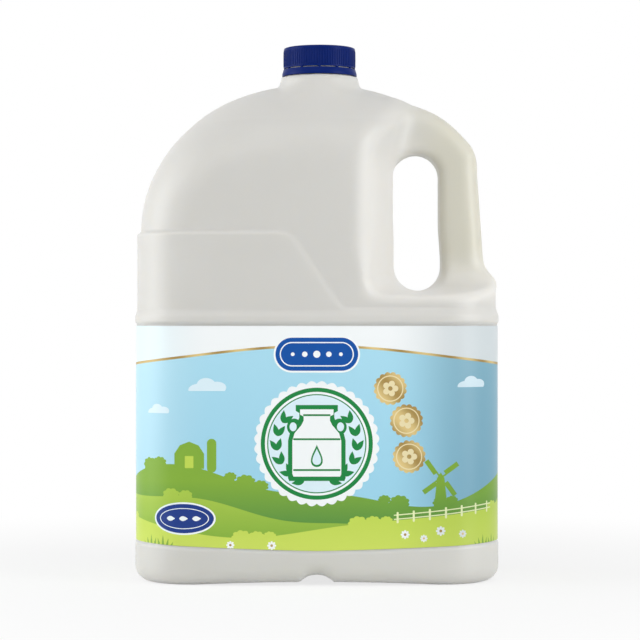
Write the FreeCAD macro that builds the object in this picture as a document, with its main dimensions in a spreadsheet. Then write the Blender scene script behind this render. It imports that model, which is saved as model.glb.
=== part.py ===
"""One-gallon milk jug: blow-moulded bottle with a grip gap, wrap label, screw cap and tamper band.

Millimetres. The origin is on the ground under the middle of the body, +X points to the handle's
side, -Y is the label's front and +Z is up. The lower body is a stack of rounded rectangles at
slightly different levels; the dome and the handle are outlines in the XZ plane, pulled both ways
and rounded.
"""
import FreeCAD, Part
import math
import os
import re

import Sketcher
from FreeCAD import Placement, Rotation, Vector

# alias, value in mm (or a plain number), what it is
DIMENSIONS = [
    ("body_width", 198.0, "width of the label panel, X"),
    ("body_depth", 95.0, "depth of the label panel, Y"),
    ("corner_radius", 30.0, "corners of the label panel, seen from above"),
    ("base_band_height", 18.5, "top of the proud band under the label"),
    ("base_band_proud", 0.6, "how far the base band stands out from the label panel"),
    ("heel_radius", 10.0, "rounding of the heel"),
    ("panel_height", 121.5, "height of the label panel"),
    ("rib_height", 6.2, "height of the rib over the label"),
    ("rib_proud", 1.0, "how far that rib stands out from the label panel"),
    ("shoulder_height", 189.0, "top of the raised side panel, where the dome begins"),
    ("raised_inset", 0.3, "step from the label panel in to the raised side panel"),
    ("raised_end", -14.4, "X where the raised panel's top edge turns down"),
    ("raised_foot", 13.3, "X where its slanted edge meets the rib"),
    ("dome_inset", 1.5, "step from the label panel in to the dome"),
    ("dome_rise", 85.9, "half height of the ellipse that the dome follows"),
    ("dome_round", 33.0, "rounding of the dome from its outline into its front and back"),
    ("neck_shift", 1.4, "how far the neck stands off the body's middle, X"),
    ("collar_foot_radius", 22.4, "neck collar where it leaves the dome"),
    ("collar_top_radius", 20.9, "neck collar under the tamper band"),
    ("collar_top", 276.0, "height of the collar's top"),
    ("neck_clearance", 0.4, "gap between the neck and the cap's skirt"),
    ("retainer_clearance", 0.2, "gap between the neck's bead and the tamper band"),
    ("cap_radius", 20.0, "outside of the cap's skirt"),
    ("cap_height", 11.4, "height of the cap over the slit"),
    ("cap_wall", 1.4, "thickness of the cap's skirt and top"),
    ("cap_edge", 1.2, "rounding of the cap's top edge"),
    ("band_height", 3.8, "height of the tamper band"),
    ("band_flare", 0.7, "how far the band's foot stands out from the skirt"),
    ("band_wall", 1.1, "thickness of the tamper band at its top"),
    ("band_clearance", 0.3, "gap between the band and the collar under it"),
    ("slit_height", 0.5, "slit between the band and the cap"),
    ("bridge_count", 10, "breakable bridges across the slit"),
    ("bridge_width", 1.3, "width of a bridge"),
    ("grip_wall", 41.3, "X of the body's wall beside the grip gap"),
    ("grip_wall_flare", 5.5, "how far that wall leans out up to the dome's top"),
    ("grip_wall_corner", 12.0, "corner between that wall and the dome's top"),
    ("grip_gap_width", 25.5, "width of the grip gap"),
    ("grip_gap_height", 75.3, "height of the grip gap"),
    ("grip_gap_bottom", 158.0, "underside of the grip gap"),
    ("shelf_height", 157.0, "height of the shelf beside the grip gap"),
    ("shelf_inset", 0.9, "step from the label panel in to the shelf's sides"),
    ("shelf_round", 6.0, "rounding of the shelf's edge"),
    ("grip_width", 22.4, "width of the handle beside the gap, X"),
    ("grip_depth", 28.0, "thickness of the handle, Y"),
    ("grip_round", 9.5, "rounding of the handle's edges"),
    ("grip_top_bar", 27.6, "thickness of the handle over the gap, Z"),
    ("grip_root", 10.0, "how deep the handle reaches into the body"),
    ("label_margin", 0.8, "gap from the panel's lower edge to the label"),
    ("label_top_margin", 1.2, "gap from the label to the panel's upper edge"),
    ("label_film", 0.3, "thickness of the label"),
    ("notch_width", 20.5, "width of the channel across the base"),
    ("notch_height", 5.2, "height of that channel"),
    ("notch_round", 4.0, "rounding of the channel's top"),
    ("arch_rise", 1.6, "how far the base rises between its feet"),
    ("arch_span", 130.0, "distance between the feet"),
    ("hollow_margin", 18.0, "width of the standing rim round the hollow base"),
    ("hollow_depth", 3.5, "depth of the hollow in the base"),
    ("hollow_corner", 14.0, "corners of that hollow"),
]
ALIASES = {alias for alias, _, _ in DIMENSIONS}

COLLAR_SINK = 10.0  # the neck's root inside the dome

# Heights and radii that follow from the sheet, as expressions on it.
RIB_BOTTOM = "(base_band_height + panel_height)"
RIB_TOP = f"({RIB_BOTTOM} + rib_height)"
BAND_BOTTOM = "(collar_top + band_clearance)"
BAND_TOP = f"({BAND_BOTTOM} + band_height)"
CAP_BOTTOM = f"({BAND_TOP} + slit_height)"
CAP_TOP = f"({CAP_BOTTOM} + cap_height)"
NECK_TOP = f"({CAP_TOP} - cap_wall)"
NECK_RADIUS = "(cap_radius - cap_wall - neck_clearance)"
BAND_BORE = "(cap_radius - band_wall)"
GAP_TOP = "(grip_gap_bottom + grip_gap_height)"
GAP_RIGHT = "(grip_wall + grip_gap_width)"
GRIP_RIGHT = f"({GAP_RIGHT} + grip_width)"
CROWN = ("(shoulder_height + dome_rise * sqrt(1 - (collar_foot_radius"
         " / (body_width / 2 - dome_inset)) ^ 2))")

doc = FreeCAD.newDocument("milk_jug")
sheet = doc.addObject("Spreadsheet::Sheet", "dims")
for row, (alias, value, meaning) in enumerate(DIMENSIONS, start=1):
    sheet.set(f"A{row}", alias)
    sheet.set(f"B{row}", str(value))
    sheet.set(f"C{row}", meaning)
    sheet.setAlias(f"B{row}", alias)
doc.recompute()


def on_sheet(words):
    """An expression with each alias turned into its reference on the sheet."""
    return re.sub(r"[a-z_]+", lambda m: "dims." + m[0] if m[0] in ALIASES else m[0], words)


def size(words):
    """The value of an expression on the sheet, in mm."""
    value = sheet.evalExpression(on_sheet(words))
    return float(getattr(value, "Value", value))


def bind(thing, **expressions):
    """Binds properties to the sheet, as in bind(pad, Length="2 * body_depth")."""
    for name, words in expressions.items():
        thing.setExpression(name.replace("__", "."), on_sheet(words))
    return thing


# --- sketches --------------------------------------------------------------------------------


def new_body(name, label=None):
    """An empty body."""
    body = doc.addObject("PartDesign::Body", name)
    body.Label = label or name
    return body


def new_sketch(body, name, plane):
    """An empty sketch on one of the body's origin planes."""
    sketch = body.newObject("Sketcher::SketchObject", name)
    origin = next(o for o in body.Origin.OriginFeatures if o.Role == plane)
    sketch.AttachmentSupport = [(origin, "")]
    sketch.MapMode = "FlatFace"
    return sketch


def constrain(sketch, words, *where):
    """Adds a constraint whose value is an expression on the sheet."""
    number = sketch.addConstraint(Sketcher.Constraint(*where, size(words)))
    sketch.setExpression(f"Constraints[{number}]", on_sheet(words))


def join(sketch, *where):
    """Adds a constraint without a value."""
    sketch.addConstraint(Sketcher.Constraint(*where))


def pin(sketch, index, end, across, up):
    """Fixes a point of a sketched line or arc at an X and a Z worked out from the sheet."""
    constrain(sketch, across, "DistanceX", -1, 1, index, end)
    constrain(sketch, up, "DistanceY", -1, 1, index, end)


def add_polygon(sketch, corners):
    """A closed polygon: corners are pairs of expressions on the sheet."""
    points = [Vector(size(across), size(up), 0) for across, up in corners]
    first = sketch.GeometryCount
    count = len(points)
    for i in range(count):
        sketch.addGeometry(Part.LineSegment(points[i], points[(i + 1) % count]), False)
    for i in range(count):
        join(sketch, "Coincident", first + i, 2, first + (i + 1) % count, 1)
    for i, (across, up) in enumerate(corners):
        pin(sketch, first + i, 1, across, up)


def turned(body, name, corners):
    """A solid turned about the Z axis: corners are pairs of radius and height."""
    sketch = new_sketch(body, name + "_profile", "XZ_Plane")
    add_polygon(sketch, corners)
    solid = body.newObject("PartDesign::Revolution", name + "_turned")
    solid.Profile = sketch
    solid.ReferenceAxis = (sketch, ["V_Axis"])
    solid.Angle = 360
    doc.recompute()
    return solid


def pulled_both_ways(body, sketch, name, length):
    """A sketch pulled to both sides of its plane."""
    pad = body.newObject("PartDesign::Pad", name)
    pad.Profile = sketch
    pad.SideType = "Symmetric"
    bind(pad, Length=length)
    doc.recompute()
    return pad


# --- the bottle's levels ---------------------------------------------------------------------


def rounded_rectangle(body, name, half_width, half_depth, corner):
    """A sketch of a rounded rectangle on the XY plane: its sizes are expressions."""
    sketch = new_sketch(body, name, "XY_Plane")
    a, b, r = size(half_width), size(half_depth), size(corner)
    turn = math.pi / 2
    middles = [(a - r, b - r), (r - a, b - r), (r - a, r - b), (a - r, r - b)]
    for i, (x, y) in enumerate(middles):
        next_x, next_y = middles[(i + 1) % 4]
        circle = Part.Circle(Vector(x, y, 0), Vector(0, 0, 1), r)
        sketch.addGeometry(Part.ArcOfCircle(circle, i * turn, (i + 1) * turn), False)
        out = Vector(-math.sin(i * turn) * r, math.cos(i * turn) * r, 0)
        side = Part.LineSegment(Vector(x, y, 0) + out, Vector(next_x, next_y, 0) + out)
        sketch.addGeometry(side, False)
    for i in range(8):
        join(sketch, "Tangent", i, 2, (i + 1) % 8, 1)
    for i in (0, 2, 4, 6):
        constrain(sketch, corner, "Radius", i)
    for i in (1, 5):
        join(sketch, "Horizontal", i)
    for i in (3, 7):
        join(sketch, "Vertical", i)
    constrain(sketch, half_depth, "DistanceY", -1, 1, 1, 1)
    constrain(sketch, f"-({half_width})", "DistanceX", -1, 1, 3, 1)
    constrain(sketch, f"-({half_depth})", "DistanceY", -1, 1, 5, 1)
    constrain(sketch, half_width, "DistanceX", -1, 1, 7, 1)
    return sketch


def slab(name, bottom, proud, height):
    """The body's section moved out by proud and pulled up from bottom, all expressions."""
    body = new_body(name)
    sketch = rounded_rectangle(body, name + "_section", f"body_width / 2 + ({proud})",
                               f"body_depth / 2 + ({proud})", f"corner_radius + ({proud})")
    bind(sketch, AttachmentOffset__Base__z=bottom)
    pad = body.newObject("PartDesign::Pad", name + "_pad")
    pad.Profile = sketch
    bind(pad, Length=height)
    doc.recompute()
    body.Tip = pad
    return body


def boolean(kind, name, base, tool):
    """A Part boolean of two shapes: Cut or Fuse."""
    made = doc.addObject("Part::" + kind, name)
    made.Base, made.Tool = base, tool
    doc.recompute()
    return made


def round_edges(body, name, radius, chosen):
    """Rounds the edges of a body's tip that a test picks: radius is an expression."""
    tip = body.Tip
    doc.recompute()
    edges = [f"Edge{i}" for i, edge in enumerate(tip.Shape.Edges, start=1) if chosen(edge)]
    rounded = body.newObject("PartDesign::Fillet", name)
    rounded.Base = (tip, edges)
    bind(rounded, Radius=radius)
    doc.recompute()
    body.Tip = rounded
    return body


def lies_at(height):
    """A test for edges that lie level at a height, an expression."""
    level = size(height)
    return lambda edge: abs(edge.BoundBox.ZMin - level) + abs(edge.BoundBox.ZMax - level) < 1e-4


# --- bottle ----------------------------------------------------------------------------------


def make_base():
    """The base band with its heel, standing on a rim that the channel and the arch cut."""
    band = slab("base_band", "0 * body_width", "base_band_proud", "base_band_height")
    solid = round_edges(band, "heel", "heel_radius", lies_at("0 * body_width"))
    for tool in make_underside():
        solid = boolean("Cut", "base_less_" + tool.Name, solid, tool)
    return solid


def make_lower_body():
    """Label panel, rib, raised side panel and the shelf."""
    panel = slab("label_panel", "base_band_height / 2", "0 * body_width",
                 "base_band_height / 2 + panel_height + rib_height / 2")
    rib = slab("rib", RIB_BOTTOM, "rib_proud", "rib_height")
    shelf = slab("shelf", RIB_BOTTOM, "-shelf_inset", f"shelf_height - {RIB_BOTTOM}")
    shelf = round_edges(shelf, "shelf_edge", "shelf_round", lies_at("shelf_height"))

    raised = slab("raised_block", RIB_BOTTOM, "-raised_inset",
                  f"shoulder_height - {RIB_BOTTOM}")
    body = new_body("raised_trim")
    outline = new_sketch(body, "raised_trim_outline", "XZ_Plane")
    add_polygon(outline, [
        ("raised_end", "shoulder_height"),
        ("raised_foot", RIB_TOP),
        ("body_width", RIB_TOP),
        ("body_width", "2 * shoulder_height"),
        ("raised_end", "2 * shoulder_height"),
    ])
    body.Tip = pulled_both_ways(body, outline, "raised_trim_pad", "2 * body_depth")
    raised = boolean("Cut", "raised_panel", raised, body)
    return [panel, rib, shelf, raised]


def make_dome():
    """The dome from the rib to the neck: a quarter ellipse over the straight sides."""
    body = new_body("dome")
    sketch = new_sketch(body, "dome_outline", "XZ_Plane")
    half = "(body_width / 2 - dome_inset)"
    foot = f"({RIB_BOTTOM} + rib_height / 2)"
    bend = f"({GAP_TOP} - grip_gap_width / 2)"
    edge = "(grip_wall + grip_wall_flare)"
    edge_top = f"(shoulder_height + dome_rise * sqrt(1 - ({edge} / {half}) ^ 2))"

    def point(across, up):
        return Vector(size(across), size(up), 0)

    a, b, base = size(half), size("dome_rise"), size("shoulder_height")
    ellipse = Part.Ellipse(Vector(a, base, 0), Vector(0, base + b, 0), Vector(0, base, 0))
    end = math.acos(size(edge) / a)
    over = Part.ArcOfEllipse(ellipse, end, math.pi)
    sketch.addGeometry(over, False)
    bends = [(f"-{half}", "shoulder_height"), (f"-{half}", foot), ("grip_wall", foot),
             ("grip_wall", bend), (edge, edge_top)]
    corners = [point(*words) for words in bends]
    for i in range(4):
        sketch.addGeometry(Part.LineSegment(corners[i], corners[i + 1]), False)
    for i in range(1, 4):
        join(sketch, "Coincident", i, 2, i + 1, 1)
    join(sketch, "Coincident", 0, 2, 1, 1)
    join(sketch, "Coincident", 4, 2, 0, 1)
    for i, (across, up) in enumerate(bends[:4], start=1):
        pin(sketch, i, 1, across, up)
    pin(sketch, 4, 2, edge, edge_top)
    pin(sketch, 0, 3, "0 * body_width", "shoulder_height")
    body.Tip = pulled_both_ways(body, sketch, "dome_pad", "body_depth - 2 * dome_inset")

    x, z = size(edge), size(edge_top)
    round_edges(body, "grip_wall_rounding", "grip_wall_corner",
                lambda e: abs(e.CenterOfMass.y) < 1e-4 and abs(e.CenterOfMass.x - x) < 1e-3
                and abs(e.CenterOfMass.z - z) < 1e-3)
    face, low = size("body_depth / 2 - dome_inset"), size(foot)
    round_edges(body, "dome_rounding", "dome_round",
                lambda e: abs(abs(e.CenterOfMass.y) - face) < 1e-4
                and e.CenterOfMass.z > low + 1e-3)
    return body


def make_neck():
    """Collar, retaining bead and plain neck, up to the underside of the cap's top."""
    body = new_body("neck")
    root = f"{CROWN} - {COLLAR_SINK}"
    axis = "0 * cap_radius"
    bead = f"({BAND_BORE} - retainer_clearance)"
    body.Tip = turned(body, "neck", [
        (axis, root),
        ("collar_foot_radius", root),
        ("collar_foot_radius", CROWN),
        ("collar_top_radius", "collar_top"),
        (NECK_RADIUS, "collar_top"),
        (NECK_RADIUS, f"{BAND_BOTTOM} + band_height / 2"),
        (bead, f"{BAND_BOTTOM} + band_height * 0.7"),
        (NECK_RADIUS, BAND_TOP),
        (NECK_RADIUS, NECK_TOP),
        (axis, NECK_TOP),
    ])
    bind(body, Placement__Base__x="neck_shift")
    return body


def make_handle():
    """The handle round the grip gap: an outline in the XZ plane, pulled and rounded."""
    body = new_body("handle")
    sketch = new_sketch(body, "handle_outline", "XZ_Plane")
    bend = f"({GAP_TOP} - grip_gap_width / 2)"
    middle = "(grip_wall + grip_gap_width / 2)"
    top = f"({GAP_TOP} + grip_top_bar)"
    outer = f"({top} - {bend})"
    turn_x = f"({GRIP_RIGHT} - {outer})"
    left = "(grip_wall - 2 * grip_root)"
    foot = "(shelf_height - grip_root)"

    def point(across, up):
        return Vector(size(across), size(up), 0)

    add = sketch.addGeometry
    add(Part.LineSegment(point(left, foot), point(GRIP_RIGHT, foot)), False)
    add(Part.LineSegment(point(GRIP_RIGHT, foot), point(GRIP_RIGHT, bend)), False)
    circle = Part.Circle(point(turn_x, bend), Vector(0, 0, 1), size(outer))
    add(Part.ArcOfCircle(circle, 0, math.pi / 2), False)
    add(Part.LineSegment(point(turn_x, top), point(left, top)), False)
    add(Part.LineSegment(point(left, top), point(left, foot)), False)
    for i in (0, 3, 4):
        join(sketch, "Coincident", i, 2, (i + 1) % 5, 1)
    pin(sketch, 0, 1, left, foot)
    pin(sketch, 1, 1, GRIP_RIGHT, foot)
    pin(sketch, 2, 3, turn_x, bend)
    join(sketch, "Tangent", 1, 2, 2, 1)
    join(sketch, "Tangent", 2, 2, 3, 1)
    join(sketch, "Vertical", 1)
    join(sketch, "Horizontal", 3)
    join(sketch, "Vertical", 4)
    body.Tip = pulled_both_ways(body, sketch, "handle_plate", "grip_depth")

    gap = new_sketch(body, "grip_gap_outline", "XZ_Plane")
    radius = "grip_gap_width / 2"
    low = f"(grip_gap_bottom + {radius})"
    r = size(radius)
    up = Part.Circle(point(middle, bend), Vector(0, 0, 1), r)
    down = Part.Circle(point(middle, low), Vector(0, 0, 1), r)
    gap.addGeometry(Part.ArcOfCircle(up, 0, math.pi), False)
    gap.addGeometry(Part.LineSegment(point("grip_wall", bend), point("grip_wall", low)), False)
    gap.addGeometry(Part.ArcOfCircle(down, math.pi, 2 * math.pi), False)
    gap.addGeometry(Part.LineSegment(point(GAP_RIGHT, low), point(GAP_RIGHT, bend)), False)
    for i in range(4):
        join(gap, "Tangent", i, 2, (i + 1) % 4, 1)
    pin(gap, 0, 3, middle, bend)
    pin(gap, 2, 3, middle, low)
    constrain(gap, radius, "Radius", 0)
    doc.recompute()
    plate = body.Tip.Shape.Volume
    pocket = body.newObject("PartDesign::Pocket", "grip_gap")
    pocket.Profile = gap
    pocket.SideType = "Symmetric"
    pocket.Type = "ThroughAll"
    doc.recompute()
    body.Tip = pocket
    assert pocket.Shape.Volume < plate - size("grip_gap_width * grip_gap_height * grip_depth / 2")

    # The edges on the two flat sides, but not those that end inside the body.
    edges = []
    inside, under = size(left) + 1e-3, size(foot) + 1e-3
    for i, edge in enumerate(pocket.Shape.Edges, start=1):
        ends = [v.Point for v in edge.Vertexes]
        on_side = all(abs(abs(p.y) - size("grip_depth / 2")) < 1e-4 for p in ends)
        hidden = all(p.x < inside for p in ends) or all(p.z < under for p in ends)
        if on_side and not hidden:
            edges.append(f"Edge{i}")
    rounded = body.newObject("PartDesign::Fillet", "handle_rounding")
    rounded.Base = (pocket, edges)
    bind(rounded, Radius="grip_round")
    doc.recompute()
    body.Tip = rounded
    return body


def make_underside():
    """What the base is cut by: a channel along Y, a low arch and a hollow in the middle."""
    body = new_body("channel")
    sketch = new_sketch(body, "channel_outline", "XZ_Plane")
    add_polygon(sketch, [
        ("-notch_width / 2", "-notch_height"),
        ("-notch_width / 2", "0 * notch_height"),
        ("-notch_width / 4", "notch_height"),
        ("notch_width / 4", "notch_height"),
        ("notch_width / 2", "0 * notch_height"),
        ("notch_width / 2", "-notch_height"),
    ])
    pad = pulled_both_ways(body, sketch, "channel_pad", "2 * body_depth")
    body.Tip = pad
    top = size("notch_height")
    edges = [f"Edge{i}" for i, e in enumerate(pad.Shape.Edges, start=1)
             if abs(e.CenterOfMass.z - top) < 1e-4 and abs(e.CenterOfMass.y) < 1e-4]
    rounded = body.newObject("PartDesign::Fillet", "channel_rounding")
    rounded.Base = (pad, edges)
    bind(rounded, Radius="notch_round")
    doc.recompute()
    body.Tip = rounded

    arch = doc.addObject("Part::Cylinder", "arch")
    radius = "((arch_span / 2) ^ 2 + arch_rise ^ 2) / (2 * arch_rise)"
    bind(arch, Radius=radius, Height="2 * body_depth")
    arch.Placement = Placement(Vector(0, 0, 0), Rotation(Vector(1, 0, 0), 90))
    bind(arch, Placement__Base__y="body_depth", Placement__Base__z=f"arch_rise - {radius}")

    hollow = new_body("hollow")
    sketch = rounded_rectangle(hollow, "hollow_section", "body_width / 2 - hollow_margin",
                               "body_depth / 2 - hollow_margin", "hollow_corner")
    pad = pulled_both_ways(hollow, sketch, "hollow_pad", "2 * hollow_depth")
    hollow.Tip = pad
    doc.recompute()
    return [body, arch, hollow]


def make_jug():
    """The bottle, filled and shut, as one solid."""
    panel, rib, shelf, raised = make_lower_body()
    solid = make_dome()
    for piece in (shelf, make_handle(), make_neck(), raised, rib, panel, make_base()):
        joined = boolean("Fuse", "bottle_with_" + piece.Name, solid, piece)
        volumes = [solid.Shape.Volume, piece.Shape.Volume]
        assert max(volumes) - 1 < joined.Shape.Volume < sum(volumes) + 1, joined.Name
        solid = joined
    solid.Label = "jug"
    return solid


# --- label, cap and band ---------------------------------------------------------------------


def make_label():
    """The wrap label, a film lying on the label panel."""
    bottom = "base_band_height + label_margin"
    height = "panel_height - label_margin - label_top_margin"
    outer = slab("label_outside", bottom, "label_film", height)
    inner = slab("label_inside", bottom, "0 * body_width", height)
    label = boolean("Cut", "label", outer, inner)
    return label


def make_cap():
    """The screw cap, its top's underside lying on the neck."""
    body = new_body("screw_cap")
    axis = "0 * cap_radius"
    inside = "cap_radius - cap_wall"
    shell = turned(body, "cap", [
        (axis, NECK_TOP),
        (inside, NECK_TOP),
        (inside, CAP_BOTTOM),
        ("cap_radius", CAP_BOTTOM),
        ("cap_radius", CAP_TOP),
        (axis, CAP_TOP),
    ])
    top, radius = size(CAP_TOP), size("cap_radius")
    edges = [f"Edge{i}" for i, e in enumerate(shell.Shape.Edges, start=1)
             if abs(e.BoundBox.ZMin - top) < 1e-4 and e.BoundBox.XMax > radius - 1e-3]
    rounded = body.newObject("PartDesign::Fillet", "cap_rounding")
    rounded.Base = (shell, edges)
    bind(rounded, Radius="cap_edge")
    body.Tip = rounded
    bind(body, Placement__Base__x="neck_shift")
    doc.recompute()
    return body


def make_band():
    """The tamper band under the slit, with the bridges that join it to the cap's rim."""
    body = new_body("tamper_band")
    ring = turned(body, "band", [
        (BAND_BORE, BAND_BOTTOM),
        ("cap_radius + band_flare", BAND_BOTTOM),
        ("cap_radius + band_flare", f"{BAND_BOTTOM} + band_height / 3"),
        ("cap_radius", BAND_TOP),
        (BAND_BORE, BAND_TOP),
    ])
    sketch = new_sketch(body, "bridge_outline", "XY_Plane")
    bind(sketch, AttachmentOffset__Base__z=BAND_TOP)
    add_polygon(sketch, [
        (f"{BAND_BORE} + band_wall / 5", "-bridge_width / 2"),
        ("cap_radius - band_wall / 5", "-bridge_width / 2"),
        ("cap_radius - band_wall / 5", "bridge_width / 2"),
        (f"{BAND_BORE} + band_wall / 5", "bridge_width / 2"),
    ])
    bridge = body.newObject("PartDesign::Pad", "bridge")
    bridge.Profile = sketch
    bind(bridge, Length="slit_height")
    doc.recompute()
    pattern = body.newObject("PartDesign::PolarPattern", "bridges")
    pattern.Originals = [bridge]
    pattern.Axis = (sketch, ["N_Axis"])
    pattern.Angle = 360
    bind(pattern, Occurrences="bridge_count")
    body.Tip = pattern
    bind(body, Placement__Base__x="neck_shift")
    doc.recompute()
    one = bridge.Shape.Volume - ring.Shape.Volume
    assert pattern.Shape.Volume > ring.Shape.Volume + (size("bridge_count") - 0.5) * one
    return body


parts = [make_jug(), make_label(), make_cap(), make_band()]
doc.recompute()

failed = [o.Name for o in doc.Objects if "Invalid" in o.State or "Error" in o.State]
if failed:
    raise RuntimeError("these features failed: " + ", ".join(failed))
for part in parts:
    shape = part.Shape
    if shape.isNull() or not shape.isValid() or len(shape.Solids) != 1:
        raise RuntimeError(f"{part.Label} is not one valid solid: {len(shape.Solids)}")

os.makedirs("parts", exist_ok=True)
for part in parts:
    part.Shape.exportStep(f"parts/{part.Label}.step")
    box = part.Shape.BoundBox
    print(f"{part.Label}: {part.Shape.Volume / 1000:.1f} cm3, z {box.ZMin:.2f} to {box.ZMax:.2f}")
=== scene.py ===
"""One-gallon milk jug: filled polyethylene bottle, wrap label, screw cap and tamper band.

Metres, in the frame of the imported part: +X is the handle's side, -Y the label's front, +Z up.
The sections follow the jug as it is made: blown, labelled, capped, then stood in a studio.
"""
import math

import bpy
import numpy as np
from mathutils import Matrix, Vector
from mathutils.geometry import delaunay_2d_cdt


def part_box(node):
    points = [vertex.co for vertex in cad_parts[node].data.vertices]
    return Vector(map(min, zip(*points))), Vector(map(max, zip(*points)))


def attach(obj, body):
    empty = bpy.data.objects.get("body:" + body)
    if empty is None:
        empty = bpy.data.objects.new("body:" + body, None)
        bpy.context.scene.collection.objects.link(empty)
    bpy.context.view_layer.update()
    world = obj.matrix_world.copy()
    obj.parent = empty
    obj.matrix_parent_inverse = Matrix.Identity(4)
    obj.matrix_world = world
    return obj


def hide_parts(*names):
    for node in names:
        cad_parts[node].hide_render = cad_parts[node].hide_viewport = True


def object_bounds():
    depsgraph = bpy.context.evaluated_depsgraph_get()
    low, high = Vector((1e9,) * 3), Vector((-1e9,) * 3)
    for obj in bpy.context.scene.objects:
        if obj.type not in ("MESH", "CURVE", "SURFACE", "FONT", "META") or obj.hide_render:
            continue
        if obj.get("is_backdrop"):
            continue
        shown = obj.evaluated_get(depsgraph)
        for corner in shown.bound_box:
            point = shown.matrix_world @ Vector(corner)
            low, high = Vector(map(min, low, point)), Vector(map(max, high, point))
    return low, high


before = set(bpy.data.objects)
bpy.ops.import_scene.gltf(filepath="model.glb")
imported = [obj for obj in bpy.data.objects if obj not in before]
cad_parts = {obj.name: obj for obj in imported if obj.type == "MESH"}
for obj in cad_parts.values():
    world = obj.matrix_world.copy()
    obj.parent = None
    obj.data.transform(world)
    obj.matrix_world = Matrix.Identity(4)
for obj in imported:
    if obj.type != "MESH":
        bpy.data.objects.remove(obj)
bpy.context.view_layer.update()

# === Bottle ====================================================================================
# Blow-moulded high-density polyethylene, milk-white because of the milk behind its thin wall.
# One hollow shape: label panel, dome, neck and a handle that the two mould halves pinch off.
# It is shut, so bottle and milk are one closed skin, in millimetres until the mesh is made.

# The label panel, the rib over it, and the raised panel that ends in a slant by the recess.
HALF_WIDTH = 98.4
HALF_DEPTH = 49.0
FACE_CROWN = 3.5
CORNER_RADIUS = 30.0
PANEL_FOOT = 18.0
PANEL_FOOT_RISE = 3.6
BASE_BAND_STEP = 0.7
PANEL_TOP = 140.3
RIB_STEP = 0.9
RIB_TOP = 145.6
RIB_DROP = 1.2
SLANT_FOOT = 148.0
SLANT_X = -14.4
SLANT_RISE = 41.0
SLANT_RUN = 27.7
SLANT_LENGTH = 49.5

# The dome. Above the lean's foot its front and back turn in towards the neck.
SHOULDER = 189.0
DOME_RISE = 87.2
LEAN_FOOT = 225.0
LEAN_RISE = 53.5

# The recess for the hand: a wall that drafts to the front, which turns over the handle's root.
RECESS_WALL = 45.0
RECESS_DRAFT = 0.50
RECESS_TURN_FOOT = 228
RECESS_TURN = 8.0
RECESS_RADIUS = 9.0
SHELF = 163.0
SHELF_FALL = 0.25

# The handle and the hole for the fingers.
GRIP_MIDDLE = 0.6
GRIP_REACH = 102.0
GRIP_RISE = 86.3
GRIP_HALF_DEPTH = 14.0
GRIP_RADIUS = 9.0
GRIP_RIGHT = 88.3
GRIP_LEAN = 0.07
GRIP_START = 42.0
GRIP_FOOT = 150.0
HOLE_X = 54.7
HOLE_RADIUS = 12.6
HOLE_LOW = 171.0
HOLE_HIGH = 220.5
HOLE_EDGE = 5.0

# The base: a heel, a low arch between the feet, a channel across and a hollow.
HEEL_RADIUS = 8.5
ARCH_RISE = 1.6
ARCH_HALF = 65
CHANNEL_RISE = 5.4
CHANNEL_HALF = 10.4
HOLLOW_RISE = 3.5
HOLLOW_HALF_WIDTH = 80
HOLLOW_HALF_DEPTH = 30

# The neck, and the parting line that the two mould halves leave.
NECK_X = 1.4
NECK_ROOT = 255
COLLAR_RADIUS = 22.3
COLLAR_TAPER = 0.235
COLLAR_TOP = 276.0
FINISH_RADIUS = 18.1
FINISH_TOP = 290.4
LOCK_BEAD = 0.75
LOCK_BEAD_HEIGHT = 280.3
SEAM_STEP = 0.16
SEAM_WIDTH = 0.45


def ramp(value, width):
    """Goes smoothly from 0 to 1 as value goes from -width to width."""
    t = np.clip(value / (2 * width) + 0.5, 0, 1)
    return t * t * (3 - 2 * t)


def blended_union(a, b, k):
    """Two shapes joined with a fillet of about k."""
    near = np.maximum(k - np.abs(a - b), 0) / k
    return np.minimum(a, b) - near * near * k / 4


def rounded_overlap(a, b, radius):
    """What two shapes have in common, with its edge rounded."""
    corner = np.hypot(np.maximum(a + radius, 0), np.maximum(b + radius, 0))
    return np.minimum(-radius, np.maximum(a, b)) + corner


def rounded_corner(a, b, radius):
    """The smaller of two distances, rounded where they meet."""
    return -rounded_overlap(-a, -b, radius)


def face_crown(x):
    """How far the front and back swell at x, less the full crown at the middle."""
    return FACE_CROWN * (np.clip(1 - (x / HALF_WIDTH) ** 2, 0, 1) - 1)


def panel_foot(x):
    """Height of the label panel's lower edge, which rises towards the corners."""
    return PANEL_FOOT + PANEL_FOOT_RISE * (np.clip(np.abs(x), 0, 97) / 97) ** 1.4


def wall_level(x, z):
    """How far the side wall stands out from the label panel: base band, rib, raised panel."""
    slant = ((x - SLANT_X) * SLANT_RISE + (z - SHOULDER) * SLANT_RUN) / SLANT_LENGTH
    raised = blended_union(-rounded_corner(SHOULDER - z, -slant, 5.0), z - SLANT_FOOT, 3.0)
    level = BASE_BAND_STEP * (1 - ramp(z - panel_foot(x), 0.8))
    level = level + RIB_STEP * ramp(z - PANEL_TOP, 0.8)
    level = level - RIB_DROP * ramp(z - RIB_TOP, 2.2)
    # The drop past the slant is deeper on the left side and shallower on the handle's side.
    drop = 1.1 + 0.9 * ramp(-x - 75, 20) - 0.7 * ramp(x - 75, 20)
    return level - drop * ramp(raised, 1.1)


def dome_profile(x, z):
    """Distance from the jug's outline seen from the front."""
    across = x / HALF_WIDTH
    up = np.maximum(z - SHOULDER, 0) / DOME_RISE
    reach = np.maximum(np.hypot(across, up), 1e-6)
    slope = np.maximum(np.hypot(across / HALF_WIDTH, up / DOME_RISE), 1e-6)
    return (reach - 1) * reach / slope


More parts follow.
